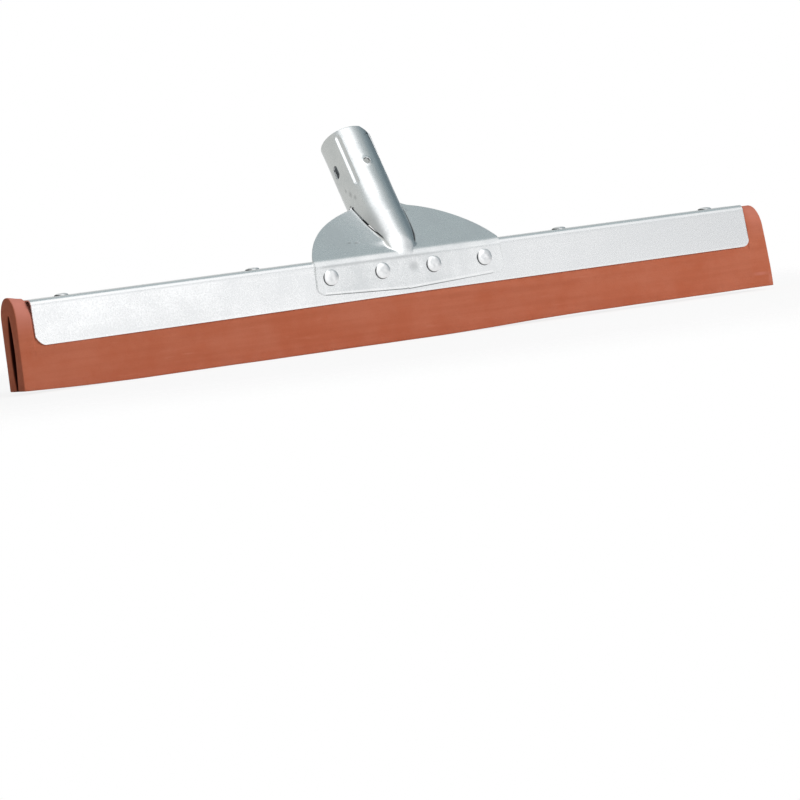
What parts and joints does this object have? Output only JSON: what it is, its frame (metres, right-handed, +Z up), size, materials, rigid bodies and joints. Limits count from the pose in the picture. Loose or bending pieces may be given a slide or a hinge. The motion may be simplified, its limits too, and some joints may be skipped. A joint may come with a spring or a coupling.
{
  "type": "floor squeegee",
  "caption": "Floor squeegee head: a folded strip of cellular rubber gripped by a zinc-plated steel channel, with a riveted stamped socket leaning back for a round handle.",
  "frame": {"origin": "middle of the foot of the whole part, on the floor under it: half way along the blade, and half way between the flange rivets' heads and the rim of the socket", "axes": "+X along the blade, +Y to the back, where the handle leans, +Z up from the floor"},
  "size_m": [0.45, 0.071, 0.118],
  "materials": {
    "channel_zinc": "satin zinc plating on sheet steel",
    "socket_zinc": "mottled blue-grey zinc plating on stamped sheet steel",
    "rivet_zinc": "bright zinc plating on steel rivets",
    "burr_zinc": "zinc plating on steel rings",
    "cellular_rubber": "matt terracotta cellular rubber"
  },
  "bodies": {
    "root": {"channel": "channel_zinc", "rubber_blade": "cellular_rubber", "handle_socket": "socket_zinc", "flange_rivet_1": "rivet_zinc", "flange_rivet_2": "rivet_zinc", "flange_rivet_3": "rivet_zinc", "flange_rivet_4": "rivet_zinc", "flange_burr_1": "burr_zinc", "flange_burr_2": "burr_zinc", "flange_burr_3": "burr_zinc", "flange_burr_4": "burr_zinc", "crown_rivet_1": "rivet_zinc", "crown_rivet_2": "rivet_zinc", "crown_rivet_3": "rivet_zinc", "crown_rivet_4": "rivet_zinc", "crown_burr_1": "burr_zinc", "crown_burr_2": "burr_zinc", "crown_burr_3": "burr_zinc", "crown_burr_4": "burr_zinc"}
  },
  "joints": []
}
